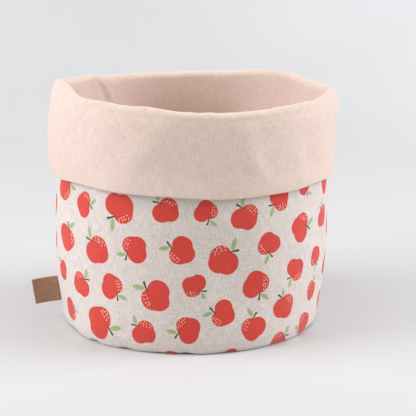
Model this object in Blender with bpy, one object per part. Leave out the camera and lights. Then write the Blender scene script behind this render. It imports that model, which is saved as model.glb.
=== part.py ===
"""A round linen bread bag, standing open with its top turned down as a deep cuff.

It is sewn from five pieces: a printed outer wall and its round base, a plain lining wall and its
round base, and a small label caught in the side seam. Both walls run up together, over the rim and
down again to the edge of the cuff, so the plain lining is what shows on the cuff.

Units are metres and +Z is up. The origin is the middle of the underside. Angles go round the bag in
degrees: 0 is the front (-Y), 90 the right side (+X), -90 the left side and 180 the back.
"""

from collections import namedtuple
from math import cos, exp, hypot, pi, radians, sin

import bmesh
import bpy

MM = 0.001

# Cloth
SHEET = 1.0 * MM  # thickness of each wall
PLY_GAP = 0.4 * MM  # between the lining and the printed cloth
BASE_SHEET = 1.2 * MM
FACE_GAP = 0.4 * MM  # between pieces that are sewn edge to edge

# Heights of the named sections of the wall and the cuff
WAIST_Z = 60 * MM
SHOULDER_Z = 114 * MM
CUFF_MIDDLE_Z = 170 * MM
CUFF_TOP_DROP = 13 * MM  # from the crest of the rim down to the cuff's top section
EDGE_ROUNDING = 9 * MM  # the height over which the cuff turns in to its edge
EDGE_SHARE = 0.3  # how much of that turn is already made at its top

# The foot, where the wall rounds under to the base seam
FOOT_Z = 12 * MM
FOOT_BEND_Z = 3.2 * MM
FOOT_BEND = 2.0 * MM  # how far in the wall is at that height
FOOT_TUCK = 3.6 * MM  # how far in it is at the seam
SEAM_Z = 1.3 * MM
LINING_START_Z = 2.7 * MM  # the lining wall starts just above the outer base

FADE_Z = 48 * MM  # below this height the lift of the puckers grows and the dents fade out

ROLL_HEIGHT = 1.1  # height of the rolled rim for its half width

# How finely the cloth is divided
COLUMNS = 60  # sections round the bag
WALL_ROWS = 12
ROLL_ROWS = 6
CUFF_ROWS = 7
FOOT_CROWDING = 1.5  # above 1, the wall's rows lie closer together at the foot
CUFF_CROWDING = 0.08  # above 0, the cuff's rows lie closer together at both its ends
SHARP_ANGLE = radians(50)

# The rim: height and radius of its crest, and half the width of its roll, in millimetres. It stands
# highest and widest at the left side, has a pinched peak at the back left and a corner at the right.
Rim = namedtuple("Rim", "angle height radius roll")
RIM = [
    Rim(-180, 203.6, 118.0, 4.3),
    Rim(-160, 203.0, 118.4, 4.2),
    Rim(-141, 203.6, 118.6, 4.0),
    Rim(-134, 205.0, 118.8, 3.7),
    Rim(-128, 207.2, 118.6, 3.4),
    Rim(-122, 207.2, 118.2, 3.8),
    Rim(-111, 208.4, 117.6, 4.4),
    Rim(-100, 211.3, 117.2, 4.9),
    Rim(-90, 214.8, 117.0, 4.8),
    Rim(-80, 217.0, 115.8, 5.2),
    Rim(-72, 217.2, 115.2, 5.2),
    Rim(-65, 214.6, 115.2, 5.0),
    Rim(-59, 211.5, 115.9, 4.8),
    Rim(-51, 210.0, 117.0, 4.6),
    Rim(-38, 210.4, 118.0, 4.2),
    Rim(-27, 209.1, 118.2, 4.4),
    Rim(-18, 209.2, 118.0, 4.2),
    Rim(-6, 206.5, 118.2, 4.4),
    Rim(8, 205.3, 118.2, 4.5),
    Rim(26, 205.2, 118.2, 4.3),
    Rim(42, 206.4, 118.0, 4.3),
    Rim(58, 206.2, 118.2, 4.3),
    Rim(68, 207.6, 118.8, 4.0),
    Rim(77, 209.5, 119.4, 3.6),
    Rim(86, 208.0, 120.0, 3.2),
    Rim(97, 205.6, 119.8, 3.6),
    Rim(109, 204.0, 118.8, 4.1),
    Rim(120, 204.8, 118.2, 4.2),
    Rim(134, 208.5, 117.8, 4.0),
    Rim(148, 207.2, 117.8, 4.2),
    Rim(165, 204.5, 118.0, 4.4),
]

# The standing shape: radii of the outer faces of the cuff (top, middle, edge) and of the printed wall
# (shoulder, waist, foot), and the height of the cuff's edge, in millimetres. The left wall stands
# upright and the right wall leans in towards the foot.
Section = namedtuple("Section", "angle top cuff edge edge_height shoulder waist foot")
SECTIONS = [
    Section(-180, 124.4, 125.2, 124.2, 136.0, 120.2, 118.8, 115.2),
    Section(-156, 124.6, 125.8, 124.6, 134.2, 120.7, 119.6, 116.0),
    Section(-130, 124.2, 126.2, 125.0, 135.8, 121.0, 120.9, 117.4),
    Section(-107, 124.2, 127.2, 125.4, 135.0, 121.4, 122.0, 118.8),
    Section(-84, 124.2, 128.0, 124.8, 135.4, 121.5, 122.8, 118.8),
    Section(-66, 123.6, 127.4, 125.2, 136.8, 121.2, 122.0, 117.0),
    Section(-55, 123.8, 126.6, 125.2, 138.6, 120.7, 120.8, 118.8),
    Section(-45, 124.2, 126.3, 125.2, 138.3, 120.6, 120.3, 119.8),
    Section(-36, 124.6, 126.0, 125.2, 137.7, 120.6, 119.8, 118.6),
    Section(-18, 124.2, 125.4, 124.4, 137.0, 120.1, 118.7, 116.9),
    Section(-6, 124.4, 125.2, 124.8, 136.6, 120.4, 118.9, 116.6),
    Section(8, 124.4, 124.8, 124.4, 134.6, 120.2, 118.2, 116.0),
    Section(24, 124.6, 124.8, 124.0, 135.4, 119.7, 117.8, 115.0),
    Section(42, 124.6, 124.5, 124.0, 135.9, 119.4, 117.4, 114.0),
    Section(58, 125.0, 124.4, 123.6, 137.0, 118.9, 117.3, 112.9),
    Section(72, 125.4, 124.3, 123.2, 133.8, 118.4, 117.3, 112.2),
    Section(85, 126.2, 124.2, 122.8, 130.2, 118.1, 117.2, 111.8),
    Section(103, 125.4, 124.2, 123.2, 132.0, 118.6, 117.5, 112.5),
    Section(128, 124.2, 124.7, 123.6, 135.6, 119.4, 117.5, 113.2),
    Section(154, 124.2, 124.8, 124.0, 134.4, 120.1, 118.0, 114.2),
]

# Puckers along the base seam: where the foot is drawn up off the surface.
Pucker = namedtuple("Pucker", "angle spread lift")
PUCKERS = [
    Pucker(-153, 9, 0.9),
    Pucker(-127, 8, 1.5),
    Pucker(-98, 8, 1.0),
    Pucker(-67, 5, 1.0),
    Pucker(-46.5, 3.2, 2.2),
    Pucker(-30, 3.4, 1.8),
    Pucker(-14, 6, 1.1),
    Pucker(-3.5, 3.6, 2.0),
    Pucker(14, 6, 1.0),
    Pucker(37, 8, 0.9),
    Pucker(64, 7, 1.4),
    Pucker(92, 9, 0.8),
    Pucker(121, 8, 1.6),
    Pucker(150, 9, 1.0),
    Pucker(176, 8, 1.7),
]

# Soft dents (depth above 0) and swells (below 0) in the cloth, each with its height, its spread in
# degrees round the bag and its spread in millimetres up it.
Dent = namedtuple("Dent", "angle height spread rise depth")
DENTS = [
    Dent(-84, 150, 13, 12, -0.9),
    Dent(-48, 183, 9, 20, 1.0),
    Dent(-14, 174, 8, 18, -0.7),
    Dent(22, 188, 8, 15, 0.8),
    Dent(58, 166, 8, 20, -0.8),
    Dent(112, 176, 12, 18, 1.0),
    Dent(160, 168, 12, 20, -0.8),
    Dent(-138, 178, 8, 26, 1.1),
    Dent(-84, 42, 12, 15, -1.2),
    Dent(-70, 94, 8, 20, -0.8),
    Dent(-40, 58, 7, 22, 0.8),
    Dent(-12, 96, 8, 16, 0.7),
    Dent(8, 42, 8, 16, -0.8),
    Dent(41, 70, 7, 10, 1.0),
    Dent(66, 38, 9, 14, 0.9),
    Dent(118, 68, 10, 22, 1.1),
    Dent(158, 52, 10, 20, -0.9),
    Dent(-150, 80, 10, 24, 1.0),
    Dent(-112, 50, 9, 18, 0.9),
]

# The label in the left side seam
LABEL_ANGLE = -81
LABEL_LOW_Z = 18.9 * MM
LABEL_HEIGHT = 21.8 * MM
LABEL_REACH = 21.4 * MM
LABEL_SHEET = 1.2 * MM
LABEL_DROOP = radians(7.8)  # its free end hangs lower than the seam
LABEL_HEADING = radians(-84)  # the way it points out from the wall
LABEL_BOW = 1.2 * MM
LABEL_STEPS = 6

LINEN_PRINTED = (0.62, 0.56, 0.50, 1)
LINEN_PLAIN = (0.72, 0.58, 0.48, 1)
LABEL_BROWN = (0.25, 0.15, 0.09, 1)


def clear_scene():
    for obj in list(bpy.data.objects):
        bpy.data.objects.remove(obj, do_unlink=True)


def through(stations, values, at):
    """A smooth curve through the values at the stations, read at one place."""
    last = len(stations) - 2
    i = min(max(sum(1 for s in stations if s <= at) - 1, 0), last)

    def slope(k):
        low = max(k - 1, 0)
        high = min(k + 1, len(stations) - 1)
        return (values[high] - values[low]) / (stations[high] - stations[low])

    width = stations[i + 1] - stations[i]
    t = (at - stations[i]) / width
    start = values[i] * (1 + 2 * t) + slope(i) * width * t
    end = values[i + 1] * (3 - 2 * t) - slope(i + 1) * width * (1 - t)
    return start * (1 - t) ** 2 + end * t * t


def around(table, column, angle):
    """One column of a table at an angle, in metres, on a smooth closed curve through its rows."""
    stations = [row.angle + turn for turn in (-360, 0, 360) for row in table]
    values = [getattr(row, column) * MM for _ in range(3) for row in table]
    return through(stations, values, angle)


def bump(angle, centre, spread):
    """1 at the centre, falling smoothly to 0 over about twice the spread, in degrees."""
    away = (angle - centre + 180) % 360 - 180
    return exp(-((away / spread) ** 2))


def lift_at(angle):
    return sum(p.lift * MM * bump(angle, p.angle, p.spread) for p in PUCKERS)


def dent_at(angle, z):
    return sum(
        d.depth * MM * bump(angle, d.angle, d.spread) * exp(-(((z / MM - d.height) / d.rise) ** 2))
        for d in DENTS
    )


def wall_line(angle):
    """The lining's middle line from the base seam up to the neck of the rolled rim, as (radius, height).

    Its first point is the outer wall's foot, and the lining itself starts at the second.
    """
    inset = SHEET + PLY_GAP + SHEET / 2
    crest = around(RIM, "height", angle) - SHEET / 2
    roll = around(RIM, "roll", angle)
    neck = crest - roll * ROLL_HEIGHT
    foot = around(SECTIONS, "foot", angle) - inset
    lift = lift_at(angle)
    heights = [SEAM_Z, FOOT_BEND_Z, FOOT_Z, WAIST_Z, SHOULDER_Z, neck]
    radii = [
        foot - FOOT_TUCK,
        foot - FOOT_BEND,
        foot,
        around(SECTIONS, "waist", angle) - inset,
        around(SECTIONS, "shoulder", angle) - inset,
        around(RIM, "radius", angle) - roll,
    ]
    rows = [SEAM_Z]
    for row in range(WALL_ROWS - 1):
        rise = (row / (WALL_ROWS - 2)) ** FOOT_CROWDING
        rows.append(LINING_START_Z + (neck - LINING_START_Z) * rise)
    line = []
    for z in rows:
        fade = max(0.0, 1 - z / FADE_Z)
        radius = through(heights, radii, z) - dent_at(angle, z) * (1 - fade)
        line.append((radius, z + lift * fade**2))
    return line


def roll_line(angle):
    """The rim's roll, from the neck inside, over the crest, to the top of the cuff."""
    crest = around(RIM, "height", angle) - SHEET / 2
    radius = around(RIM, "radius", angle)
    roll = around(RIM, "roll", angle)
    steps = [pi * step / ROLL_ROWS for step in range(1, ROLL_ROWS)]
    return [
        (radius - roll * cos(turn), crest - roll * ROLL_HEIGHT * (1 - sin(turn))) for turn in steps
    ]


def cuff_line(angle):
    """The cuff, from the outer foot of the roll down to its edge."""
    half = SHEET / 2
    crest = around(RIM, "height", angle) - half
    roll = around(RIM, "roll", angle)
    top = crest - roll * ROLL_HEIGHT
    edge_z = around(SECTIONS, "edge_height", angle)
    edge = around(SECTIONS, "edge", angle) - half
    cuff = around(SECTIONS, "cuff", angle) - half
    heights = [edge_z, edge_z + EDGE_ROUNDING, CUFF_MIDDLE_Z, crest - CUFF_TOP_DROP, top]
    radii = [
        edge,
        EDGE_SHARE * edge + (1 - EDGE_SHARE) * cuff,
        cuff,
        around(SECTIONS, "top", angle) - half,
        around(RIM, "radius", angle) + roll,
    ]
    line = []
    for row in range(CUFF_ROWS):
        down = row / (CUFF_ROWS - 1)
        down = down + CUFF_CROWDING * sin(2 * pi * down)
        z = top + (edge_z - top) * down
        line.append((through(heights, radii, z) - dent_at(angle, z), z))
    return line


def cloth_line(angle):
    """The lining's whole middle line, from the base seam over the rim to the edge of the cuff."""
    return wall_line(angle) + roll_line(angle) + cuff_line(angle)


def beside(line, distance):
    """The line moved sideways, away from the face that ends up on the inside of the bag."""
    moved = []
    for i, (radius, z) in enumerate(line):
        before = line[max(i - 1, 0)]
        after = line[min(i + 1, len(line) - 1)]
        run = after[0] - before[0]
        rise = after[1] - before[1]
        length = hypot(run, rise)
        moved.append((radius + distance * rise / length, z - distance * run / length))
    return moved


def angles():
    return [-180 + 360 * column / COLUMNS for column in range(COLUMNS)]


def place(radius, angle, z):
    turn = radians(angle)
    return (radius * sin(turn), -radius * cos(turn), z)


def add_object(name, mesh, colour, roughness):
    material = bpy.data.materials.new(name)
    material.use_nodes = True
    shader = material.node_tree.nodes["Principled BSDF"]
    shader.inputs["Base Color"].default_value = colour
    shader.inputs["Roughness"].default_value = roughness
    mesh.materials.append(material)
    mesh.shade_smooth()
    mesh.set_sharp_from_angle(angle=SHARP_ANGLE)
    obj = bpy.data.objects.new(name, mesh)
    bpy.context.scene.collection.objects.link(obj)
    return obj


def mesh_from(name, form):
    bmesh.ops.recalc_face_normals(form, faces=form.faces[:])
    mesh = bpy.data.meshes.new(name)
    form.to_mesh(mesh)
    form.free()
    return mesh


def thicken(obj, thickness):
    """Gives a sheet its thickness, half to each side."""
    modifier = obj.modifiers.new("Thickness", "SOLIDIFY")
    modifier.thickness = thickness
    modifier.offset = 0
    modifier.use_even_offset = True


def wall(name, line_at, colour):
    """A closed tube of cloth whose cross-section at each angle is the given line."""
    form = bmesh.new()
    columns = [
        [form.verts.new(place(radius, angle, z)) for radius, z in line_at(angle)]
        for angle in angles()
    ]
    for i, here in enumerate(columns):
        there = columns[(i + 1) % COLUMNS]
        for j in range(len(here) - 1):
            form.faces.new((here[j], there[j], there[j + 1], here[j + 1]))
    obj = add_object(name, mesh_from(name, form), colour, 0.9)
    thicken(obj, SHEET)
    return obj


def lining_wall():
    return wall("lining_wall", lambda angle: cloth_line(angle)[1:], LINEN_PLAIN)


def outer_wall():
    """The printed cloth lies against the lining all the way, on the lining's hidden face."""

    def line_at(angle):
        return beside(cloth_line(angle), SHEET + PLY_GAP)

    return wall("outer_wall", line_at, LINEN_PRINTED)


def base(name, bottom_z, row, clearance, colour):
    """A round base panel that ends just inside its wall, whose foot is the given row of the line.

    It is drawn in a little where the foot is lifted, because the wall slopes in under it.
    """
    form = bmesh.new()
    rim = []
    for angle in angles():
        radius = wall_line(angle)[row][0] - clearance - lift_at(angle)
        rim.append(form.verts.new(place(radius, angle, bottom_z)))
    face = form.faces.new(rim)
    made = bmesh.ops.extrude_face_region(form, geom=[face])
    top = [item for item in made["geom"] if isinstance(item, bmesh.types.BMVert)]
    bmesh.ops.translate(form, verts=top, vec=(0, 0, BASE_SHEET))
    return add_object(name, mesh_from(name, form), colour, 0.9)


def outer_base():
    # the seam line is read on the lining, and the printed wall's inner face is one gap outside it
    clearance = FACE_GAP - PLY_GAP - SHEET / 2
    return base("outer_base", 0.0, 0, clearance, LINEN_PRINTED)


def lining_base():
    bottom = BASE_SHEET + FACE_GAP
    clearance = SHEET / 2 + FACE_GAP
    return base("lining_base", bottom, 1, clearance, LINEN_PLAIN)


def label():
    """A small bare label that sticks out of the side seam and bows a little towards its free end."""
    out = (sin(LABEL_HEADING), -cos(LABEL_HEADING))
    across = (out[1], -out[0])
    form = bmesh.new()
    rows = []
    for step in range(LABEL_STEPS + 1):
        share = step / LABEL_STEPS
        row = []
        for side in (0, 1):
            z = LABEL_LOW_Z + side * LABEL_HEIGHT
            wall_radius = through(
                [FOOT_Z, WAIST_Z],
                [around(SECTIONS, name, LABEL_ANGLE) for name in ("foot", "waist")],
                z,
            ) - dent_at(LABEL_ANGLE, z)
            root = place(wall_radius + LABEL_SHEET, LABEL_ANGLE, z)
            reach = LABEL_REACH * share
            bow = LABEL_BOW * sin(pi * share)
            x = root[0] + out[0] * reach + across[0] * bow
            y = root[1] + out[1] * reach + across[1] * bow
            row.append(form.verts.new((x, y, z - reach * sin(LABEL_DROOP))))
        rows.append(row)
    for near, far in zip(rows, rows[1:]):
        form.faces.new((near[0], far[0], far[1], near[1]))
    obj = add_object("label", mesh_from("label", form), LABEL_BROWN, 0.7)
    thicken(obj, LABEL_SHEET)
    return obj


def main():
    clear_scene()
    outer_wall()
    outer_base()
    lining_wall()
    lining_base()
    label()


main()
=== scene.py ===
"""The looks of the round linen bread bag: fine cloth over its solids, its print, label, light and camera.

Units are metres. Angles go round the bag in degrees: 0 is the front (-Y), 90 the right side (+X), -90
the left side and 180 the back. The lining's middle line runs from the base seam inside, up the wall,
over the rim and down to the edge of the cuff. The printed cloth lies beside it all the way.
"""

from collections import namedtuple
from math import cos, pi, radians, sin

import bpy
import numpy as np
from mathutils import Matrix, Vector, noise


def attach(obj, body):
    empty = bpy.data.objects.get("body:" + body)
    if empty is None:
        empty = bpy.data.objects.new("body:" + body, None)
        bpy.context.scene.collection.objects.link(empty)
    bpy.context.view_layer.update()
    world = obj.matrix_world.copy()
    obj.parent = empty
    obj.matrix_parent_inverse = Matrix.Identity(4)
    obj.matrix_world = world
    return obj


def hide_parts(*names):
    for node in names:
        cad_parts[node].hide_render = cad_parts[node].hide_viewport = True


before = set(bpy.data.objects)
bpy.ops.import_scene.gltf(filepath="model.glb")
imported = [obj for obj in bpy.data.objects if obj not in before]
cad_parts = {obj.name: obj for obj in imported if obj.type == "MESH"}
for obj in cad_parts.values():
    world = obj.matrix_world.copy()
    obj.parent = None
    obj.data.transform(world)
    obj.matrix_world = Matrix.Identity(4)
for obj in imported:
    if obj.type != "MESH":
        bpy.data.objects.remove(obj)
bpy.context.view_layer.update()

MM = 0.001

# Cloth, as in the solids
PLY_STEP = 1.4 * MM  # from the lining's middle to the printed cloth's middle
SOLID_SHEET = 1.0 * MM  # thickness of each ply of the solids
CLOTH = 0.8 * MM  # thickness of the fine cloth
GIRTH = 0.754  # the cloth's length round the bag
PRINT_EDGE_LIFT = 1.6 * MM  # how far above the cuff's edge each cloth's line ends
LINING_EDGE_LIFT = 0.9 * MM
HEM_BEND = 0.85 * MM  # radius of the lining's turn round the end of the printed cloth
HEM_TURN = (25, 150)  # degrees of that turn

# Heights and bends of the wall, the cuff and the foot, as in the solids
WAIST_Z = 60 * MM
SHOULDER_Z = 114 * MM
CUFF_MIDDLE_Z = 170 * MM
CUFF_TOP_DROP = 13 * MM
EDGE_ROUNDING = 9 * MM
EDGE_SHARE = 0.3
FOOT_Z = 12 * MM
FOOT_BEND_Z = 3.2 * MM
FOOT_BEND = 2.0 * MM
FOOT_TUCK = 3.6 * MM
SEAM_Z = 1.3 * MM
LINING_START_Z = 2.7 * MM
FADE_Z = 48 * MM
ROLL_HEIGHT = 1.1
BASE_FLAT = 0.86  # the share of the base's radius that lies flat where its rim is puckered up
HELD_Z = 8 * MM  # below this height the base seam holds the creases back

# How finely the cloth is divided
COLUMNS = 288
WALL_ROWS = 92
ROLL_ROWS = 14
CUFF_ROWS = 40
HEM_ROWS = 5
WALL_CROWDING = 0.75  # above 0, the wall's rows lie closer together at the foot
CUFF_CROWDING = 0.4  # above 0, the cuff's rows lie closer together in its middle
BASE_RINGS = 36
BASE_EVERY = 2  # the base has a point at every second column

# The rim: height and radius of its crest, and half the width of its roll, in millimetres
Rim = namedtuple("Rim", "angle height radius roll")
RIM = [
    Rim(-180, 203.6, 118.0, 4.3),
    Rim(-160, 203.0, 118.4, 4.2),
    Rim(-141, 203.6, 118.6, 4.0),
    Rim(-134, 205.0, 118.8, 3.7),
    Rim(-128, 207.2, 118.6, 3.4),
    Rim(-122, 207.2, 118.2, 3.8),
    Rim(-111, 208.4, 117.6, 4.4),
    Rim(-100, 211.3, 117.2, 4.9),
    Rim(-90, 214.8, 117.0, 4.8),
    Rim(-80, 217.0, 115.8, 5.2),
    Rim(-72, 217.2, 115.2, 5.2),
    Rim(-65, 214.6, 115.2, 5.0),
    Rim(-59, 211.5, 115.9, 4.8),
    Rim(-51, 210.0, 117.0, 4.6),
    Rim(-38, 210.4, 118.0, 4.2),
    Rim(-27, 209.1, 118.2, 4.4),
    Rim(-18, 209.2, 118.0, 4.2),
    Rim(-6, 206.5, 118.2, 4.4),
    Rim(8, 205.3, 118.2, 4.5),
    Rim(26, 205.2, 118.2, 4.3),
    Rim(42, 206.4, 118.0, 4.3),
    Rim(58, 206.2, 118.2, 4.3),
    Rim(68, 207.6, 118.8, 4.0),
    Rim(77, 209.5, 119.4, 3.6),
    Rim(86, 208.0, 120.0, 3.2),
    Rim(97, 205.6, 119.8, 3.6),
    Rim(109, 204.0, 118.8, 4.1),
    Rim(120, 204.8, 118.2, 4.2),
    Rim(134, 208.5, 117.8, 4.0),
    Rim(148, 207.2, 117.8, 4.2),
    Rim(165, 204.5, 118.0, 4.4),
]

# Radii of the outer faces of the cuff (top, middle, edge) and of the printed wall (shoulder, waist,
# foot), and the height of the cuff's edge, in millimetres
Section = namedtuple("Section", "angle top cuff edge edge_height shoulder waist foot")
SECTIONS = [
    Section(-180, 124.4, 125.2, 124.2, 136.0, 120.2, 118.8, 115.2),
    Section(-156, 124.6, 125.8, 124.6, 134.2, 120.7, 119.6, 116.0),
    Section(-130, 124.2, 126.2, 125.0, 135.8, 121.0, 120.9, 117.4),
    Section(-107, 124.2, 127.2, 125.4, 135.0, 121.4, 122.0, 118.8),
    Section(-84, 124.2, 128.0, 124.3, 135.4, 121.5, 122.8, 118.8),
    Section(-66, 123.6, 127.4, 125.2, 136.8, 121.2, 122.0, 117.0),
    Section(-55, 123.8, 126.6, 125.2, 138.6, 120.7, 120.8, 118.8),
    Section(-45, 124.2, 126.3, 125.2, 139.0, 120.6, 120.3, 119.8),
    Section(-36, 124.6, 126.0, 125.2, 138.8, 120.6, 119.8, 118.6),
    Section(-18, 124.2, 125.4, 124.4, 138.2, 120.1, 118.7, 116.9),
    Section(-6, 124.4, 125.2, 124.8, 137.6, 120.4, 118.9, 116.6),
    Section(8, 124.4, 124.8, 124.4, 135.2, 120.2, 118.2, 116.0),
    Section(24, 124.6, 124.8, 124.0, 135.4, 119.7, 117.8, 115.0),
    Section(42, 124.6, 124.5, 124.0, 135.9, 119.4, 117.4, 114.0),
    Section(58, 125.0, 124.4, 123.6, 137.0, 118.9, 117.3, 112.9),
    Section(72, 125.4, 124.3, 122.4, 133.8, 118.4, 117.3, 112.2),
    Section(85, 126.2, 124.2, 121.6, 130.2, 118.1, 117.2, 111.8),
    Section(103, 125.4, 124.2, 122.5, 132.0, 118.6, 117.5, 112.5),
    Section(128, 124.2, 124.7, 123.6, 135.6, 119.4, 117.5, 113.2),
    Section(154, 124.2, 124.8, 124.0, 134.4, 120.1, 118.0, 114.2),
]

# Puckers along the base seam: where the foot is drawn up off the surface, in degrees and millimetres
Pucker = namedtuple("Pucker", "angle spread lift")
PUCKERS = [
    Pucker(-153, 9, 0.9),
    Pucker(-127, 8, 1.5),
    Pucker(-98, 8, 1.0),
    Pucker(-67, 5, 1.0),
    Pucker(-46.5, 3.2, 2.2),
    Pucker(-30, 3.4, 1.8),
    Pucker(-14, 6, 1.1),
    Pucker(-3.5, 3.6, 2.0),
    Pucker(14, 6, 1.0),
    Pucker(37, 8, 0.9),
    Pucker(64, 7, 1.4),
    Pucker(92, 9, 0.8),
    Pucker(121, 8, 1.6),
    Pucker(150, 9, 1.0),
    Pucker(176, 8, 1.7),
]

# Soft dents (depth above 0) and swells (below 0), with their spread in degrees round the bag and in
# millimetres up it
Dent = namedtuple("Dent", "angle height spread rise depth")
DENTS = [
    Dent(-84, 150, 13, 12, -0.9),
    Dent(-48, 183, 9, 20, 1.0),
    Dent(-14, 174, 8, 18, -0.7),
    Dent(22, 188, 8, 15, 0.8),
    Dent(58, 166, 8, 20, -0.8),
    Dent(112, 176, 12, 18, 1.0),
    Dent(160, 168, 12, 20, -0.8),
    Dent(-138, 178, 8, 26, 1.1),
    Dent(-84, 42, 12, 15, -1.2),
    Dent(-70, 94, 8, 20, -0.8),
    Dent(-40, 58, 7, 22, 0.8),
    Dent(-12, 96, 8, 16, 0.7),
    Dent(8, 42, 8, 16, -0.8),
    Dent(41, 70, 7, 10, 1.0),
    Dent(66, 38, 9, 14, 0.9),
    Dent(118, 68, 10, 22, 1.1),
    Dent(158, 52, 10, 20, -0.9),
    Dent(-150, 80, 10, 24, 1.0),
    Dent(-112, 50, 9, 18, 0.9),
]

# Soft creases: troughs (depth above 0) and ridges (below 0) from one angle and height to another, with
# their half width and depth, in degrees and millimetres. The side is the face of the bag that shows
# them: the cuff, the wall outside, or the wall inside.
Crease = namedtuple("Crease", "side angle height to_angle to_height width depth")
CREASES = [
    Crease("cuff", -2, 196, 3, 142, 22.0, 1.2),
    Crease("cuff", 18.5, 200, 23, 160, 9.0, -1.6),
    Crease("cuff", 24, 162, 30, 144, 5.0, -0.5),
    Crease("cuff", -10, 196, -32, 148, 15.0, -1.6),
    Crease("cuff", -27, 198, -44, 158, 16.0, -0.9),
    Crease("cuff", -62, 190, -70, 160, 8.0, 0.35),
    Crease("cuff", 43, 172, 47, 142, 9.0, -1.1),
    Crease("cuff", -39, 138, 4, 136, 13.0, -2.7),
    Crease("cuff", 18, 137, 58, 141, 8.0, -1.1),
    Crease("cuff", 76, 200, 70, 166, 7.0, 0.7),
    Crease("cuff", 96, 190, 108, 148, 9.0, 0.8),
    Crease("cuff", 134, 198, 128, 150, 7.0, 0.8),
    Crease("cuff", 168, 184, 158, 144, 10.0, 0.7),
    Crease("cuff", -128, 202, -132, 160, 5.0, 0.9),
    Crease("cuff", -108, 186, -98, 146, 9.0, 0.7),
    Crease("cuff", -160, 182, -150, 142, 8.0, 0.6),
    Crease("wall", -66, 131, -44, 130, 10.0, 2.0),
    Crease("wall", -36, 131, -8, 129, 9.0, -0.8),
    Crease("wall", 34, 131, 60, 133, 9.0, 2.6),
    Crease("wall", 11, 98, 20, 36, 27.0, 3.9),
    Crease("wall", 28, 86, 45, 84, 1.8, 0.7),
    Crease("wall", 34, 79, 50, 70, 4.0, 0.5),
    Crease("wall", 44, 90, 58, 78, 5.0, -0.4),
    Crease("wall", -8, 108, 4, 84, 6.0, 0.45),
    Crease("wall", -56, 112, -49, 74, 6.0, 0.4),
    Crease("wall", -33, 38, -22, 12, 5.0, 0.5),
    Crease("wall", -8, 30, -12, 4, 5.0, 0.5),
    Crease("wall", 18, 48, 8, 14, 6.0, 0.4),
    Crease("wall", -66, 40, -58, 8, 5.0, 0.5),
    Crease("wall", 62, 60, 72, 14, 6.0, 0.5),
    Crease("wall", 98, 100, 108, 50, 7.0, 0.6),
    Crease("wall", 126, 60, 140, 55, 2.0, 0.45),
    Crease("wall", 150, 96, 160, 40, 7.0, 0.6),
    Crease("wall", -166, 70, -148, 62, 2.4, 0.45),
    Crease("wall", -134, 104, -126, 40, 7.0, 0.6),
    Crease("wall", -100, 84, -110, 24, 7.0, 0.5),
    Crease("inside", -127.5, 211, -135, 182, 2.8, -2.8),
    Crease("inside", -131, 208, -139, 180, 2.4, 1.7),
    Crease("inside", -117, 198, -123, 168, 6.5, 1.6),
    Crease("inside", 98, 200, 104, 168, 4.0, 1.0),
    Crease("inside", 132, 204, 128, 140, 6.0, -1.0),
    Crease("inside", 118, 198, 116, 150, 6.0, 0.8),
    Crease("inside", 172, 190, 165, 120, 8.0, 0.8),
    Crease("inside", -165, 186, -158, 110, 8.0, -0.7),
    Crease("inside", 84, 200, 88, 150, 5.0, 0.8),
    Crease("inside", -84, 200, -88, 140, 6.0, -0.8),
]

CREASE_FADE = 0.62  # a crease fades out at this share of its length from its middle
INSIDE_SHARE = 0.8  # how much of an inside crease is pressed into both cloths
FADE_ROWS = 8  # rows over which the creases of the wall and the cuff fade out at the rim

SEAM_ANGLE = -84  # the side seam, which holds the label
SEAM_WIDTH = 1.1 * MM
SEAM_DEPTH = 0.45 * MM

# Even the flat stretches of the cloth are a little uneven: size of the swell, and how much it swells
WAVES = ((0.034, 0.55 * MM), (0.013, 0.22 * MM), (0.0055, 0.08 * MM))
WAVE_SEED = 3.7
RIPPLE = 0.5 * MM  # the rim's own wave, and its broad and fine size
RIPPLE_RADIUS = 118  # in millimetres
RIPPLE_BROAD = 0.011
RIPPLE_FINE = 0.005

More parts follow.
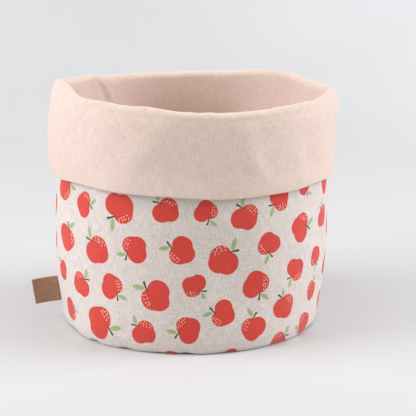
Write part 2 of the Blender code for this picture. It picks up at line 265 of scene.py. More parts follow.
# The print: where each apple sits (angle and height of its middle), how wide it is, which way its stalk
# points, anticlockwise from the right, and on which side of the stalk its flecks and leaf are.
Apple = namedtuple("Apple", "angle height size turn side")
APPLES = [
    Apple(-67.5, 129.5, 25, 42, -1),
    Apple(-50.5, 120.5, 21.5, -20, 1),
    Apple(-30.5, 124, 28, 208, 1),
    Apple(-11, 125, 22.5, 158, -1),
    Apple(4.5, 124.5, 19.5, 265, 1),
    Apple(20.5, 117.8, 24, 136, -1),
    Apple(36.9, 130, 22.5, 192, 1),
    Apple(53.2, 134.5, 17, 275, 1),
    Apple(72, 130, 19.5, 328, 1),
    Apple(69, 101.3, 21.5, 141, -1),
    Apple(49, 100.5, 25, 332, 1),
    Apple(31.7, 92.3, 22, 300, -1),
    Apple(12, 81.5, 27.5, 20, 1),
    Apple(-5, 91.5, 24, 136, 1),
    Apple(-24, 90.5, 23.5, 242, -1),
    Apple(-42.5, 84, 26.5, 156, -1),
    Apple(-63, 86.5, 25, 92, -1),
    Apple(-82.5, 107, 22, 83, 1),
    Apple(-80.5, 76, 17, 93, 1),
    Apple(-69, 54.5, 19, 106, 1),
    Apple(-53, 49.5, 22.5, 18, 1),
    Apple(-35.5, 55, 23, 288, 1),
    Apple(-15.5, 51.5, 27.5, 119, 1),
    Apple(0, 61.5, 20.5, 346, -1),
    Apple(26.5, 58, 25, 271, 1),
    Apple(47, 64.5, 21.5, 200, 1),
    Apple(62.5, 69, 19.5, 314, -1),
    Apple(62, 38.5, 20, 40, 1),
    Apple(12, 36, 23, 141, 1),
    Apple(-2.5, 23, 23.5, 225, -1),
    Apple(-21, 18.5, 22, 163, -1),
    Apple(-42, 21.2, 29, 315, 1),
    Apple(-65, 20.5, 20.5, 45, -1),
    Apple(-9.5, -10.5, 27, 154, 1),
    Apple(41, 34, 24, 134, -1),
    Apple(25.5, 20.5, 23.5, 65, 1),
    Apple(57, 10, 22, 217, -1),
    Apple(15, -6, 21, 2, -1),
    Apple(40, 1, 22, 13, 1),
    Apple(-84, 30, 20, 200, 1),
    Apple(79, 20, 22, 95, -1),
    Apple(80, 54, 24, 250, 1),
    Apple(82.5, 88, 21, 20, -1),
    Apple(-30, 158, 22, 80, 1),
    Apple(-52, 155, 23, 300, -1),
    Apple(12, 154, 24, 210, 1),
]
REPEAT = 180  # the print repeats after this many degrees
PRINT_END = 225  # how far round from the front the apples are laid, so that they meet at the back
KIND_STEP = 0.377  # spreads the apples' own small differences over 0 to 1
BASE_PITCH = 36 * MM  # between the apples on the base panel
BASE_REACH = 4  # how many of them lie to each side of the middle one
BASE_SIZES = (22, 25, 20, 27, 23)

# The apple's drawing, in units of its half width: its middle is at 0, 0, its stalk points to +x and its
# flecks and leaf are on the +y side. Its body is three blended circles.
Circle = namedtuple("Circle", "x y radius")
SHOULDER = Circle(-0.06, 0.32, 0.70)
OTHER_SHOULDER = Circle(0.20, -0.28, 0.72)
FOOT = Circle(-0.34, -0.02, 0.66)
SHOULDER_BLEND = 0.06
FOOT_BLEND = 0.2
WOBBLE = 0.10  # how far the outline strays from one apple to the next
STALK_BEND = 0.10
STALK_SIDE = 0.36
STALK_WIDTH = 0.07
STALK_MIDDLE = 0.81
STALK_HALF_LENGTH = 0.33
LEAF_ROOT = (0.72, 0.38)
LEAF_LEAN = radians(56)
LEAF_SIDES = (Circle(0.42, 0.50, 0.66), Circle(0.42, -0.50, 0.66))  # the leaf is where these overlap
FLECK_SCALE = 5.6
FLECK_RANDOMNESS = 0.45
FLECK_SIZE = 0.205
FLECK_SOFTNESS = 0.05
FLECK_SQUEEZE = 0.82
FLECK_PATCH = Circle(0.0, 0.70, 0.23)
FLECK_PATCH_STRETCH = (0.45, 1.0)

# Where the leaf lies for choosing the nearest drawing: its turn from the stalk, and its distance and
# half length in apple widths
LEAF_TURN = radians(14)
LEAF_DISTANCE = 0.72
LEAF_HALF_LENGTH = 0.24

# The base panels: height above the floor, slack and how far inside the seam they end, in millimetres
Panel = namedtuple("Panel", "name node slot rests_on low slack inset")
PRINT_PANEL = Panel("base_print", "outer_base", "printed_linen", "floor", 0.0, 0.0, 0.1)
LINING_PANEL = Panel("base_lining", "lining_base", "plain_linen", "base_print", 1.7, 0.5, 1.1)
SLACK_SIZE = 0.045  # size of the slack's waves

# The label
LABEL_ANGLE = -81
LABEL_LOW_Z = 19.2 * MM
LABEL_HEIGHT = 22.4 * MM
LABEL_REACH = 22.3 * MM
LABEL_DROOP = radians(7.8)
LABEL_HEADING = radians(-84)
LABEL_BOW = 1.2 * MM
LABEL_PLY = 0.45 * MM
LABEL_FOLD = 0.36 * MM  # radius of the fold at its free end
LABEL_RIPPLE = 0.25 * MM
LABEL_STEPS = 24
LABEL_ROWS = 22
FOLD_STEPS = 6

# Colours, as linear light
PLAIN_LINEN = (0.86, 0.70, 0.625, 1)
PLAIN_LINEN_DARK = (0.66, 0.51, 0.42, 1)
PRINT_GROUND = (0.87, 0.785, 0.735, 1)
PRINT_GROUND_DARK = (0.54, 0.483, 0.437, 1)
APPLE_RED = (0.77, 0.075, 0.052, 1)
APPLE_RED_DARK = (0.58, 0.049, 0.036, 1)
LEAF_GREEN = (0.35, 0.46, 0.21, 1)
STALK_GREEN = (0.035, 0.075, 0.040, 1)
FLECK_CREAM = (0.86, 0.68, 0.58, 1)
LABEL_BROWN = (0.325, 0.182, 0.104, 1)
LABEL_BROWN_LIGHT = (0.41, 0.24, 0.143, 1)
STUDIO_PALE = (0.652, 0.657, 0.66, 1)
# painted light: the lighter colour the sweep is given towards its far right
STUDIO_PAINTED_LIGHT = (0.76, 0.785, 0.80, 1)

# The linen's grain: the scale and roughness of each noise, and its share in the tone
Grain = namedtuple("Grain", "scale rough share")
WEFT_SLUBS = Grain(900.0, 0.6, 0.38)
WARP_SLUBS = Grain(1000.0, 0.6, 0.44)
FINE_GRAIN = Grain(1400.0, 0.6, 0.46)
PATCHES = Grain(95.0, 0.5, 0.11)
WEFT_STRETCH = 0.16  # the slubs are drawn out along their thread: below 1 is longer
WARP_STRETCH = 0.13
TONE_RANGE = (0.5, 0.87)
THREAD_PITCH = 0.62 * MM
THREAD_HEIGHT = 0.3
SLUB_HEIGHT = 2.0

# Studio sweep
SWEEP_FRONT = -4.0
SWEEP_START = 0.7
SWEEP_RADIUS = 1.2
SWEEP_STEPS = 24
SWEEP_TOP = 4.0
SWEEP_HALF_WIDTH = 5.0
SWEEP_DARKER = 0.955  # the darker clouds of its surface
PAINTED_LIGHT_SLANT = 0.6  # painted light: the sweep's colour turns lighter towards its far right, across this range
PAINTED_LIGHT_RANGE = (0.68, 1.1)

# Lights
Light = namedtuple("Light", "name place aim size power colour")
LIGHTS = (
    Light("left_window", (-2.16, -0.42, 1.15), (0, 0.1, 0.12), (1.8, 1.0), 46.6, (1.0, 0.99, 1.06)),
    Light("right_window", (2.2, -0.06, 1.15), (0, 0.1, 0.12), (1.8, 1.0), 43.5, (1.0, 0.99, 1.06)),
    Light("top_fill", (0, -0.45, 2.4), (0, 0.0, 0.1), (2.0, 1.6), 21, (1.0, 1.0, 0.95)),
)
WORLD_COLOUR = (1.0, 0.99, 0.93, 1)
WORLD_STRENGTH = 0.362

# Camera
CAMERA_PLACE = (0.0, -1.3, 0.4176)
CAMERA_PITCH = radians(13.8)
CAMERA_YAW = radians(0.55)
CAMERA_LENS = 130.15


# Shape of the cloth


def through(stations, values, at):
    """A smooth curve through the values at the stations, read at several places."""
    stations = np.asarray(stations, float)
    values = np.asarray(values, float)
    at = np.asarray(at, float)
    i = np.clip(np.searchsorted(stations, at, side="right") - 1, 0, len(stations) - 2)
    slopes = np.empty(len(values))
    slopes[1:-1] = (values[2:] - values[:-2]) / (stations[2:] - stations[:-2])
    slopes[0] = (values[1] - values[0]) / (stations[1] - stations[0])
    slopes[-1] = (values[-1] - values[-2]) / (stations[-1] - stations[-2])
    width = stations[i + 1] - stations[i]
    t = (at - stations[i]) / width
    start = values[i] * (1 + 2 * t) + slopes[i] * width * t
    end = values[i + 1] * (3 - 2 * t) - slopes[i + 1] * width * (1 - t)
    return start * (1 - t) ** 2 + end * t * t


def around(table, column, angles):
    """One column of a table as a closed curve round the bag, read at one or more angles."""
    stations = [row.angle + turn for turn in (-360, 0, 360) for row in table]
    values = [getattr(row, column) * MM for _ in range(3) for row in table]
    return through(stations, values, angles)


def turned(angle):
    """The angle brought to between -180 and 180 degrees."""
    return (angle + 180) % 360 - 180


def bump(angle, centre, spread):
    return np.exp(-((turned(angle - centre) / spread) ** 2))


def lift_at(angle):
    return sum(p.lift * MM * bump(angle, p.angle, p.spread) for p in PUCKERS)


def ripple_at(angle):
    """The small uneven wave of the rolled rim, over and above its big bends."""
    turn = radians(angle)
    place = Vector((sin(turn), -cos(turn), 0)) * RIPPLE_RADIUS * MM
    return RIPPLE * noise.noise(place / RIPPLE_BROAD) + 0.5 * RIPPLE * noise.noise(place / RIPPLE_FINE)


def dent_at(angle, z):
    return sum(
        d.depth * MM * bump(angle, d.angle, d.spread) * np.exp(-(((z / MM - d.height) / d.rise) ** 2))
        for d in DENTS
    )


def spaced(count, at_start, in_middle):
    """Shares from 0 to 1 that lie closer together at the start, in the middle, or both."""
    even = np.linspace(0, 1, count)
    return even - at_start * np.sin(pi * even) / pi + in_middle * np.sin(2 * pi * even) / (2 * pi)


class Column:
    """The lining's middle line at one angle, in its three stretches, as radii and heights."""

    def __init__(self, angle):
        half = SOLID_SHEET / 2
        inset = half + PLY_STEP
        self.angle = angle
        rim = {name: float(around(RIM, name, angle)) for name in Rim._fields[1:]}
        section = {name: float(around(SECTIONS, name, angle)) for name in Section._fields[1:]}
        self.crest = rim["height"] - half + ripple_at(angle)
        self.roll = rim["roll"]
        self.neck = self.crest - self.roll * ROLL_HEIGHT
        self.rim_radius = rim["radius"]
        self.section = section
        self.foot = section["foot"] - inset
        self.lift = float(lift_at(angle))
        self.wall_heights = [SEAM_Z, FOOT_BEND_Z, FOOT_Z, WAIST_Z, SHOULDER_Z, self.neck]
        self.wall_radii = [
            self.foot - FOOT_TUCK,
            self.foot - FOOT_BEND,
            self.foot,
            section["waist"] - inset,
            section["shoulder"] - inset,
            self.rim_radius - self.roll,
        ]

    def wall(self, start_z):
        share = spaced(WALL_ROWS, WALL_CROWDING, 0.0)
        z = start_z + (self.neck - start_z) * share
        fade = np.maximum(0, 1 - z / FADE_Z)
        radius = through(self.wall_heights, self.wall_radii, z)
        radius = radius - dent_at(self.angle, z) * (1 - fade)
        return radius, z + self.lift * fade**2

    def rolled(self):
        turn = pi * np.arange(1, ROLL_ROWS) / ROLL_ROWS
        radius = self.rim_radius - self.roll * np.cos(turn)
        return radius, self.crest - self.roll * ROLL_HEIGHT * (1 - np.sin(turn))

    def cuff(self, edge_lift):
        """The cuff, down to its edge, which ends higher up by edge_lift."""
        half = SOLID_SHEET / 2
        edge_z = self.section["edge_height"]
        edge = self.section["edge"] - half
        cuff = self.section["cuff"] - half
        heights = [edge_z, edge_z + EDGE_ROUNDING, CUFF_MIDDLE_Z, self.crest - CUFF_TOP_DROP, self.neck]
        radii = [
            edge,
            EDGE_SHARE * edge + (1 - EDGE_SHARE) * cuff,
            cuff,
            self.section["top"] - half,
            self.rim_radius + self.roll,
        ]
        share = spaced(CUFF_ROWS, 0.0, CUFF_CROWDING)
        z = self.neck + (edge_z + edge_lift - self.neck) * share
        return through(heights, radii, z) - dent_at(self.angle, z), z


def beside(radius, z, distance):
    """The line moved sideways, away from the face that ends up on the inside of the bag."""
    run = np.gradient(radius)
    rise = np.gradient(z)
    length = np.hypot(run, rise)
    return radius + distance * rise / length, z - distance * run / length


def hem_turn(radius, z):
    """The lining turned under at the cuff's edge, round the end of the printed cloth."""
    turn = np.radians(np.linspace(*HEM_TURN, HEM_ROWS))
    return radius - HEM_BEND * (1 - np.cos(turn)), z - HEM_BEND * np.sin(turn)


def crease_depth(side, angle, z, radius):
    """How deep the creases of one side of the bag are, at each point."""
    depth = np.zeros_like(z)
    for c in CREASES:
        if c.side != side:
            continue
        x = np.radians(turned(angle - c.angle)) * radius
        y = z - c.height * MM
        to_x = radians(c.to_angle - c.angle) * radius
        to_y = (c.to_height - c.height) * MM
        length = to_x**2 + to_y**2
        along = (x * to_x + y * to_y) / length
        held = np.clip(along, 0, 1)
        away = np.hypot(x - held * to_x, y - held * to_y)
        ends = np.exp(-((np.abs(along - 0.5) / CREASE_FADE) ** 4))
        depth += c.depth * MM * np.exp(-((away / (c.width * MM)) ** 2)) * ends
    return depth


def swell(points, seed):
    """Broad and fine unevenness of the cloth at each point."""
    out = np.zeros(len(points))
    for size, height in WAVES:
        for k, p in enumerate(points):
            out[k] += height * noise.noise(Vector(p) / size + Vector((seed, 0, seed)))
    return out


class Cloth:
    """A sheet of cloth round the bag, as arrays of columns by rows."""

    def __init__(self, printed):
        self.angles = -180 + 360 * np.arange(COLUMNS) / COLUMNS
        start_z = SEAM_Z if printed else LINING_START_Z
        edge_lift = PRINT_EDGE_LIFT if printed else LINING_EDGE_LIFT
        radii = []
        heights = []
        for angle in self.angles:
            column = Column(angle)
            wall_r, wall_z = column.wall(start_z)
            roll_r, roll_z = column.rolled()
            cuff_r, cuff_z = column.cuff(edge_lift)
            radius = np.concatenate([wall_r, roll_r, cuff_r])
            z = np.concatenate([wall_z, roll_z, cuff_z])
            if printed:
                radius, z = beside(radius, z, PLY_STEP)
            else:
                hem_r, hem_z = hem_turn(radius[-1], z[-1])
                radius = np.concatenate([radius, hem_r])
                z = np.concatenate([z, hem_z])
            radii.append(radius)
            heights.append(z)
        self.radius = np.array(radii)
        self.z = np.array(heights)
        self.rows = self.z.shape[1]
        steps = np.hypot(np.diff(self.radius, axis=1), np.diff(self.z, axis=1))
        self.along = np.concatenate([np.zeros((COLUMNS, 1)), np.cumsum(steps, axis=1)], axis=1)
        self.settle()

    def settle(self):
        """Presses the creases, the seam and the cloth's own unevenness into the sheet."""
        angle = np.repeat(self.angles[:, None], self.rows, axis=1)
        row = np.arange(self.rows)
        roll_start = WALL_ROWS
        cuff_start = WALL_ROWS + ROLL_ROWS - 1
        on_wall = np.clip((roll_start - row) / FADE_ROWS, 0, 1)
        on_cuff = np.clip((row - cuff_start + FADE_ROWS / 2) / FADE_ROWS, 0, 1)
        inwards = crease_depth("wall", angle, self.z, self.radius)
        inwards += INSIDE_SHARE * crease_depth("inside", angle, self.z, self.radius)
        cuff = crease_depth("cuff", angle, self.z, self.radius)
        x = np.radians(turned(angle - SEAM_ANGLE)) * self.radius
        seam = SEAM_DEPTH * np.exp(-((x / SEAM_WIDTH) ** 2))
        points = self.points()
        uneven = swell(points.reshape(-1, 3), WAVE_SEED).reshape(self.z.shape)
        # both the wall and the cuff move towards the bag's middle where a trough is
        push = (inwards + seam) * on_wall + uneven * on_wall
        pull = (cuff + seam) * on_cuff + uneven * on_cuff
        held = np.clip(self.z / HELD_Z, 0, 1)
        self.radius = self.radius - (push + pull) * held

    def points(self):
        turn = np.radians(self.angles)[:, None]
        return np.stack([self.radius * np.sin(turn), -self.radius * np.cos(turn), self.z], axis=-1)


# Meshes


def new_object(name, points, faces, material):
    mesh = bpy.data.meshes.new(name)
    mesh.from_pydata([tuple(p) for p in points], [], faces)
    mesh.materials.append(material)
    mesh.shade_smooth()
    obj = bpy.data.objects.new(name, mesh)
    bpy.context.scene.collection.objects.link(obj)
    return obj


def set_map(obj, name, corners):
    layer = obj.data.uv_layers.new(name=name)
    layer.data.foreach_set("uv", np.asarray(corners, np.float32).ravel())


def thicken(obj, thickness):
    modifier = obj.modifiers.new("Thickness", "SOLIDIFY")
    modifier.thickness = thickness
    modifier.offset = 0
    modifier.use_even_offset = True


def tube(cloth, name, material):
    """The cloth as a sheet mesh, with its own flat lengths as a map."""
    rows = cloth.rows
    points = cloth.points().reshape(-1, 3)
    faces = []
    flat = []
    for i in range(COLUMNS):
        j = (i + 1) % COLUMNS
        for k in range(rows - 1):
            corners = ((i, k), (j, k), (j, k + 1), (i, k + 1))
            faces.append([a * rows + b for a, b in corners])
            for a, b in corners:
                across = (i + (a != i)) / COLUMNS * GIRTH
                flat.append((across, cloth.along[a, b]))
    obj = new_object(name, points, faces, material)
    set_map(obj, "cloth", flat)
    return obj


def nearest_apple(places, middles, spans):
    """For each place on the flat cloth, the apple whose drawing is nearest."""
    best = np.full(len(places), 1e9)
    index = np.zeros(len(places), int)
    for k, (middle, apple) in enumerate(zip(middles, spans)):
        size, turn, side = apple
        away = places - middle
        body = np.hypot(away[:, 0], away[:, 1]) - size / 2
        stalk = turn + side * LEAF_TURN
        leaf = middle + LEAF_DISTANCE * size * np.array([cos(stalk), sin(stalk)])
        tip = np.hypot(*(places - leaf).T) - LEAF_HALF_LENGTH * size
        reach = np.minimum(body, tip)
        closer = reach < best
        best[closer] = reach[closer]
        index[closer] = k
    return index


def motif_maps(obj, corners_flat, middles, spans):
    """Gives each face the drawing of its nearest apple, as places measured from that apple's middle."""
    corners = np.asarray(corners_flat).reshape(-1, 4, 2)
    index = nearest_apple(corners.mean(axis=1), middles, spans)
    middle = np.asarray(middles)[index][:, None, :]
    size, turn, side = (np.array(values)[index][:, None] for values in zip(*spans))
    away = corners - middle
    x = (away[..., 0] * np.cos(turn) + away[..., 1] * np.sin(turn)) / (size / 2)
    y = (-away[..., 0] * np.sin(turn) + away[..., 1] * np.cos(turn)) / (size / 2) * side
    set_map(obj, "motif", np.stack([x, y], axis=-1).reshape(-1, 2))
    kind = (index * KIND_STEP) % 1
    kinds = np.repeat(np.stack([kind, np.zeros_like(kind)], axis=-1)[:, None, :], 4, axis=1)
    set_map(obj, "kind", kinds.reshape(-1, 2))


def print_wall(obj, cloth):
    """Lays the tossed apples on the printed wall, where angle and height give each one's place."""
    middles = []
    spans = []
    for shift in range(-2 * REPEAT, 2 * REPEAT + 1, REPEAT):
        for apple in APPLES:
            angle = apple.angle + shift
            if -PRINT_END < angle < PRINT_END:
                middles.append((angle / 360 * GIRTH, apple.height * MM))
                spans.append((apple.size * MM, radians(apple.turn), apple.side))
    rows = cloth.rows
    # the print is placed by height on the wall, and goes on evenly over the rim by the cloth's length
    wall_top = WALL_ROWS - 1
    level = cloth.z.copy()
    past = cloth.along - cloth.along[:, wall_top][:, None]
    level[:, wall_top:] = cloth.z[:, wall_top][:, None] + past[:, wall_top:]
    flat = []
    for i in range(COLUMNS):
        j = (i + 1) % COLUMNS
        for k in range(rows - 1):
            for a, b in ((i, k), (j, k), (j, k + 1), (i, k + 1)):
                across = (-180 + 360 * (i + (a != i)) / COLUMNS) / 360 * GIRTH
                flat.append((across, level[a, b]))
    motif_maps(obj, flat, np.array(middles), spans)


def disc(name, outline, rings, z_at, material, printed):
    """A round panel: rings of points inside an outline, its middle closed by one ring of triangles."""
    points = []
    for ring in range(rings):
        share = 1 - ring / rings
        for i, (x, y) in enumerate(outline):
            points.append((x * share, y * share, z_at(x * share, y * share, share, i)))
    points.append((0, 0, z_at(0, 0, 0, 0)))
    faces = []
    count = len(outline)
    for ring in range(rings - 1):
        for i in range(count):
            j = (i + 1) % count
            low = ring * count
            faces.append((low + i, low + j, low + count + j, low + count + i))
    centre = len(points) - 1
    last = (rings - 1) * count
    for i in range(0, count, 2):
        faces.append((last + i, last + i + 1, last + (i + 2) % count, centre))
    obj = new_object(name, points, faces, material)
    flat = [(points[v][0], points[v][1]) for face in faces for v in face]
    set_map(obj, "cloth", flat)
    if printed:
        middles, spans = base_apples()
        motif_maps(obj, flat, middles, spans)
    return obj


def base_apples():
    """Apples tossed over the base panel, on a staggered grid with small shifts."""
    middles = []
    spans = []
    for row in range(-BASE_REACH, BASE_REACH + 1):
        for place in range(-BASE_REACH, BASE_REACH + 1):
            k = (row * 11 + place * 5) % 17
            x = (place + 0.45 + 0.5 * (row % 2) + 0.12 * cos(k * 2.1)) * BASE_PITCH
            y = (row * 0.88 + 0.12 * sin(k * 1.7)) * BASE_PITCH
            size = BASE_SIZES[k % len(BASE_SIZES)] * MM
            middles.append((x, y))
            spans.append((size, radians(k * 67), 1 if k % 2 else -1))
    return np.array(middles), spans


# Materials


class Nodes:
    """Short ways to add and join the nodes of one material."""

    def __init__(self, name):
        self.material = bpy.data.materials.new(name)
        self.material.use_nodes = True
        self.tree = self.material.node_tree
        self.shader = self.tree.nodes["Principled BSDF"]

    def add(self, kind, inputs=(), **settings):
        node = self.tree.nodes.new(kind)
        for key, value in settings.items():
            setattr(node, key, value)
        for key, value in dict(inputs).items():
            self.put(node.inputs[key], value)
        return node

    def put(self, socket, value):
        if isinstance(value, bpy.types.NodeSocket):
            self.tree.links.new(value, socket)
        else:
            socket.default_value = value

    def math(self, operation, *values):
        node = self.add("ShaderNodeMath", operation=operation)
        for socket, value in zip(node.inputs, values):
            self.put(socket, value)
        return node.outputs[0]

    def plus(self, first, second):
        return self.math("ADD", first, second)

    def minus(self, first, second):
        return self.math("SUBTRACT", first, second)

    def times(self, first, second):
        return self.math("MULTIPLY", first, second)

    def map(self, name):
        return self.add("ShaderNodeUVMap", uv_map=name).outputs[0]

    def split(self, vector):
        node = self.add("ShaderNodeSeparateXYZ", {"Vector": vector})
        return node.outputs[0], node.outputs[1]

    def join(self, x, y, z=0.0):
        return self.add("ShaderNodeCombineXYZ", {"X": x, "Y": y, "Z": z}).outputs[0]

    def blend(self, share, first, second):
        node = self.add("ShaderNodeMix", data_type="RGBA")
        self.put(node.inputs[0], share)
        self.put(node.inputs[6], first)
        self.put(node.inputs[7], second)
        return node.outputs[2]

    def ramp(self, value, low, high):
        """0 below low and 1 above high."""
        inputs = {"Value": value, "From Min": low, "From Max": high}
        return self.add("ShaderNodeMapRange", inputs).outputs[0]

    def noise(self, vector, scale, detail=2.0, rough=0.5):
        inputs = {"Vector": vector, "Scale": scale, "Detail": detail, "Roughness": rough}
        return self.add("ShaderNodeTexNoise", inputs).outputs[0]

    def away(self, x, y, centre, stretch=(1, 1)):
        """Distance from a centre, with each direction stretched."""
        dx = self.times(self.minus(x, centre[0]), stretch[0])
        dy = self.times(self.minus(y, centre[1]), stretch[1])
        return self.math("SQRT", self.plus(self.times(dx, dx), self.times(dy, dy)))

    def outside(self, x, y, circle, stretch=(1, 1)):
        """Distance from the edge of a circle, below 0 inside it."""
        return self.minus(self.away(x, y, (circle.x, circle.y), stretch), circle.radius)

    def grain(self, vector, grain):
        """Noise with one of the linen's grains, weighed by its share."""
        return self.times(self.noise(vector, grain.scale, 2.0, grain.rough), grain.share)


def weave(nodes):
    """The linen's threads: the height of the weave, and how light or dark each place is, from 0 to 1."""
    u, v = nodes.split(nodes.map("cloth"))
    threads = 2 * pi / THREAD_PITCH
    warp = nodes.math("SINE", nodes.times(u, threads))
    weft = nodes.math("SINE", nodes.times(v, threads))
    along = nodes.join(nodes.times(u, WEFT_STRETCH), v)
    across = nodes.join(u, nodes.times(v, WARP_STRETCH))
    place = nodes.join(u, v)
    slubs = nodes.plus(nodes.grain(along, WEFT_SLUBS), nodes.grain(across, WARP_SLUBS))
    tone = nodes.plus(nodes.plus(slubs, nodes.grain(place, FINE_GRAIN)), nodes.grain(place, PATCHES))
    plain = nodes.times(nodes.times(warp, weft), THREAD_HEIGHT)
    height = nodes.plus(plain, nodes.times(slubs, SLUB_HEIGHT))
    return height, nodes.ramp(tone, *TONE_RANGE)


def finish_cloth(nodes, colour, height, roughness, depth):
    bumped = nodes.add("ShaderNodeBump", {"Height": height, "Strength": 1.0, "Distance": depth})
    nodes.put(nodes.shader.inputs["Base Color"], colour)
    nodes.put(nodes.shader.inputs["Normal"], bumped.outputs[0])
    nodes.shader.inputs["Roughness"].default_value = roughness
    nodes.shader.inputs["Specular IOR Level"].default_value = 0.2
    nodes.shader.inputs["Sheen Weight"].default_value = 0.25
    nodes.shader.inputs["Sheen Roughness"].default_value = 0.5
    return nodes.material


def plain_linen():
    nodes = Nodes("plain_linen")
    height, tone = weave(nodes)
    colour = nodes.blend(tone, PLAIN_LINEN_DARK, PLAIN_LINEN)
    return finish_cloth(nodes, colour, height, 0.95, 0.12 * MM)


def within(nodes, distance, softness=0.015):
    """1 inside a shape whose edge is at distance 0, and 0 outside it."""
    return nodes.ramp(distance, softness, -softness)


def printed_linen():
    """The print's one motif: a round apple with a stalk, a leaf and a patch of pale flecks."""
    nodes = Nodes("printed_linen")
    height, tone = weave(nodes)
    raw_x, raw_y = nodes.split(nodes.map("motif"))
    kind = nodes.split(nodes.map("kind"))[0]
    wobble = nodes.add("ShaderNodeTexNoise", {"Scale": 1.1, "Detail": 0.0}, noise_dimensions="4D")
    nodes.put(wobble.inputs["Vector"], nodes.map("motif"))
    nodes.put(wobble.inputs["W"], nodes.times(kind, 40.0))
    drift = nodes.times(nodes.minus(wobble.outputs[0], 0.5), WOBBLE)
    x = nodes.plus(raw_x, drift)
    y = nodes.plus(raw_y, drift)
    # two lobes side by side, wider at the shoulders than at the foot
    shoulders = [nodes.outside(x, y, circle) for circle in (SHOULDER, OTHER_SHOULDER)]
    lobes = nodes.math("SMOOTH_MIN", *shoulders, SHOULDER_BLEND)
    body = within(nodes, nodes.math("SMOOTH_MIN", lobes, nodes.outside(x, y, FOOT), FOOT_BLEND))
    # stalk: a short bent stroke
    bend = nodes.times(nodes.times(raw_x, raw_x), STALK_BEND)
    side = nodes.math("ABSOLUTE", nodes.minus(nodes.plus(raw_y, bend), STALK_SIDE))
    stalk = nodes.minus(side, nodes.times(raw_x, STALK_WIDTH))
    past_middle = nodes.math("ABSOLUTE", nodes.minus(raw_x, STALK_MIDDLE))
    stalk_mask = within(nodes, nodes.math("MAXIMUM", stalk, nodes.minus(past_middle, STALK_HALF_LENGTH)))
    # leaf: where two wide circles overlap, set off to the flecks' side of the stalk
    lx = nodes.minus(raw_x, LEAF_ROOT[0])
    ly = nodes.minus(raw_y, LEAF_ROOT[1])
    along = nodes.plus(nodes.times(lx, cos(LEAF_LEAN)), nodes.times(ly, sin(LEAF_LEAN)))
    across = nodes.minus(nodes.times(ly, cos(LEAF_LEAN)), nodes.times(lx, sin(LEAF_LEAN)))
    leaf_sides = [nodes.outside(along, across, circle) for circle in LEAF_SIDES]
    leaf_mask = within(nodes, nodes.math("MAXIMUM", *leaf_sides))
    # flecks: pale dots in a patch on one shoulder
    scatter = {"Scale": FLECK_SCALE, "Randomness": FLECK_RANDOMNESS}
    spots = nodes.add("ShaderNodeTexVoronoi", scatter, voronoi_dimensions="2D")
    squeezed = nodes.plus(nodes.times(raw_x, FLECK_SQUEEZE), nodes.times(kind, 9.0))
    nodes.put(spots.inputs["Vector"], nodes.join(squeezed, raw_y))
    dots = within(nodes, nodes.minus(spots.outputs["Distance"], FLECK_SIZE), FLECK_SOFTNESS)
    patch = within(nodes, nodes.outside(raw_x, raw_y, FLECK_PATCH, FLECK_PATCH_STRETCH))
    flecks = nodes.times(nodes.times(dots, patch), body)
    ground = nodes.blend(tone, PRINT_GROUND_DARK, PRINT_GROUND)
    red = nodes.blend(tone, APPLE_RED_DARK, APPLE_RED)
    colour = nodes.blend(leaf_mask, ground, LEAF_GREEN)
    colour = nodes.blend(body, colour, red)
    colour = nodes.blend(flecks, colour, FLECK_CREAM)
    colour = nodes.blend(stalk_mask, colour, STALK_GREEN)
    # the printing ink lets some of the thread's own tone through
    return finish_cloth(nodes, colour, height, 0.93, 0.10 * MM)


def label_stock():
    nodes = Nodes("label_stock")
    place = nodes.map("cloth")
    grain = nodes.noise(place, 1400.0, 4.0, 0.65)
    broad = nodes.noise(place, 180.0, 3.0, 0.6)
    tone = nodes.ramp(nodes.plus(nodes.times(grain, 0.5), broad), 0.5, 1.0)
    colour = nodes.blend(tone, LABEL_BROWN, LABEL_BROWN_LIGHT)
    bumped = nodes.add("ShaderNodeBump", {"Height": grain, "Strength": 1.0, "Distance": 0.06 * MM})
    nodes.put(nodes.shader.inputs["Base Color"], colour)
    nodes.put(nodes.shader.inputs["Normal"], bumped.outputs[0])
    nodes.shader.inputs["Roughness"].default_value = 0.72
    nodes.shader.inputs["Specular IOR Level"].default_value = 0.3
    return nodes.material


def studio_surface(name, colour):
    nodes = Nodes(name)
    place = nodes.add("ShaderNodeTexCoord").outputs["Object"]
    cloud = nodes.noise(place, 2.2, 3.0, 0.5)
    darker = tuple(SWEEP_DARKER * c for c in colour[:3]) + (1,)
    x, y = nodes.split(place)
    # painted light: the colour is blended towards a lighter one at the sweep's far right
    painted_light_share = nodes.ramp(nodes.plus(x, nodes.times(y, PAINTED_LIGHT_SLANT)), *PAINTED_LIGHT_RANGE)
    lit = nodes.blend(painted_light_share, colour, STUDIO_PAINTED_LIGHT)
    nodes.put(nodes.shader.inputs["Base Color"], nodes.blend(cloud, darker, lit))
    nodes.shader.inputs["Roughness"].default_value = 0.9
    nodes.shader.inputs["Specular IOR Level"].default_value = 0.1
    return nodes.material


# Pieces


def dress(obj, node, slot):
    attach(obj, "root")
    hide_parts(node)


def make_walls():
    lining = Cloth(printed=False)
    outer = Cloth(printed=True)
    lining_obj = tube(lining, "lining_cloth", plain_linen())
    outer_obj = tube(outer, "printed_cloth", printed_linen())
    print_wall(outer_obj, outer)
    for obj in (lining_obj, outer_obj):
        thicken(obj, CLOTH)
    dress(lining_obj, "lining_wall", "plain_linen")
    dress(outer_obj, "outer_wall", "printed_linen")
    return lining, outer, outer_obj.data.materials[0], lining_obj.data.materials[0]


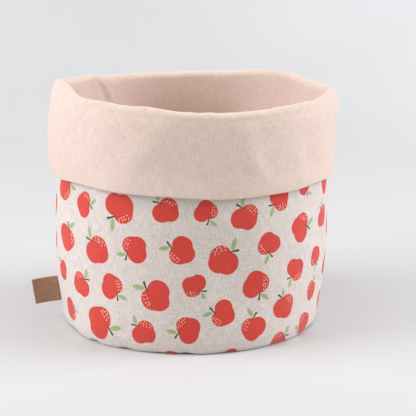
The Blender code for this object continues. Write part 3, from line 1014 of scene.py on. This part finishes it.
def make_bases(lining, outer, print_material, plain_material):
    """The two round panels: the outer one flat on the floor, the lining one a little slack."""
    turns = np.radians(outer.angles[::BASE_EVERY])
    lifts = lift_at(outer.angles[::BASE_EVERY])
    for panel, cloth, material in (
        (PRINT_PANEL, outer, print_material),
        (LINING_PANEL, lining, plain_material),
    ):
        reach = cloth.radius[::BASE_EVERY, 0] - panel.inset * MM
        outline = [(r * sin(t), -r * cos(t)) for r, t in zip(reach, turns)]

        def z_at(x, y, share, i, panel=panel):
            wave = noise.noise(Vector((x, y, panel.low)) / SLACK_SIZE)
            wave = wave * panel.slack * MM * (1 - share**6)
            rise = lifts[i] * (max(0.0, share - BASE_FLAT) / (1 - BASE_FLAT)) ** 2
            return panel.low * MM + CLOTH / 2 + abs(wave) + rise

        obj = disc(panel.name, outline, BASE_RINGS, z_at, material, printed=panel is PRINT_PANEL)
        thicken(obj, CLOTH)
        dress(obj, panel.node, panel.slot)


def make_label(outer):
    """A small bare label: one strip, folded at its free end and caught by its two ends in the seam."""
    out = Vector((sin(LABEL_HEADING), -cos(LABEL_HEADING), 0))
    across = Vector((out.y, -out.x, 0))
    column = int(round((LABEL_ANGLE + 180) / 360 * COLUMNS))
    line = [(LABEL_REACH * k / LABEL_STEPS, LABEL_FOLD) for k in range(LABEL_STEPS + 1)]
    fold = [radians(90 - 180 * k / FOLD_STEPS) for k in range(1, FOLD_STEPS)]
    line += [(LABEL_REACH + LABEL_FOLD * cos(t), LABEL_FOLD * sin(t)) for t in fold]
    line += [(reach, -LABEL_FOLD) for reach, _ in reversed(line[: LABEL_STEPS + 1])]
    points = []
    for k in range(LABEL_ROWS + 1):
        share = k / LABEL_ROWS
        z = LABEL_LOW_Z + share * LABEL_HEIGHT
        row = int(np.argmin(np.abs(outer.z[column, :WALL_ROWS] - z)))
        radius = outer.radius[column, row] + CLOTH / 2
        root = Vector((radius * sin(radians(LABEL_ANGLE)), -radius * cos(radians(LABEL_ANGLE)), z))
        for reach, side in line:
            part = reach / LABEL_REACH
            ripple = LABEL_RIPPLE * sin(2.3 * pi * share + 1.0) * part
            bow = LABEL_BOW * sin(pi * min(part, 1)) + ripple
            point = root + out * reach + across * (bow + side)
            point.z -= reach * sin(LABEL_DROOP)
            points.append(point)
    width = len(line)
    faces = []
    flat = []
    for k in range(LABEL_ROWS):
        for n in range(width - 1):
            corners = ((k, n), (k, n + 1), (k + 1, n + 1), (k + 1, n))
            faces.append([a * width + b for a, b in corners])
            flat += [(b * LABEL_REACH / LABEL_STEPS, a * LABEL_HEIGHT / LABEL_ROWS) for a, b in corners]
    obj = new_object("side_label", points, faces, label_stock())
    set_map(obj, "cloth", flat)
    thicken(obj, LABEL_PLY)
    dress(obj, "label", "label_board")


# Studio


def make_studio():
    """A pale floor that sweeps up into a pale wall behind the bag."""
    line = [(SWEEP_FRONT, 0.0), (SWEEP_START, 0.0)]
    for k in range(1, SWEEP_STEPS + 1):
        turn = pi / 2 * k / SWEEP_STEPS
        line.append((SWEEP_START + SWEEP_RADIUS * sin(turn), SWEEP_RADIUS * (1 - cos(turn))))
    line.append((SWEEP_START + SWEEP_RADIUS, SWEEP_TOP))
    points = [(x, y, z) for y, z in line for x in (-SWEEP_HALF_WIDTH, SWEEP_HALF_WIDTH)]
    faces = [(2 * k, 2 * k + 1, 2 * k + 3, 2 * k + 2) for k in range(len(line) - 1)]
    sweep = new_object("studio_sweep", points, faces, studio_surface("studio_pale", STUDIO_PALE))


def soft_light(light):
    data = bpy.data.lights.new(light.name, "AREA")
    data.shape = "RECTANGLE"
    data.size, data.size_y = light.size
    data.energy = light.power
    data.color = light.colour
    lamp = bpy.data.objects.new(light.name, data)
    lamp.location = light.place
    lamp.rotation_euler = (Vector(light.aim) - Vector(light.place)).to_track_quat("-Z", "Y").to_euler()
    bpy.context.scene.collection.objects.link(lamp)


def make_lights():
    for light in LIGHTS:
        soft_light(light)
    world = bpy.data.worlds.new("studio")
    world.use_nodes = True
    background = world.node_tree.nodes["Background"]
    background.inputs["Color"].default_value = WORLD_COLOUR
    background.inputs["Strength"].default_value = WORLD_STRENGTH
    bpy.context.scene.world = world
    bpy.context.scene.view_settings.view_transform = "Standard"


def make_camera():
    data = bpy.data.cameras.new("camera")
    data.lens = CAMERA_LENS
    camera = bpy.data.objects.new("camera", data)
    camera.location = CAMERA_PLACE
    camera.rotation_euler = (pi / 2 - CAMERA_PITCH, 0, -CAMERA_YAW)
    bpy.context.scene.collection.objects.link(camera)
    bpy.context.scene.camera = camera


def main():
    make_camera()
    make_studio()
    make_lights()
    lining, outer, print_material, plain_material = make_walls()
    make_bases(lining, outer, print_material, plain_material)
    make_label(outer)


main()
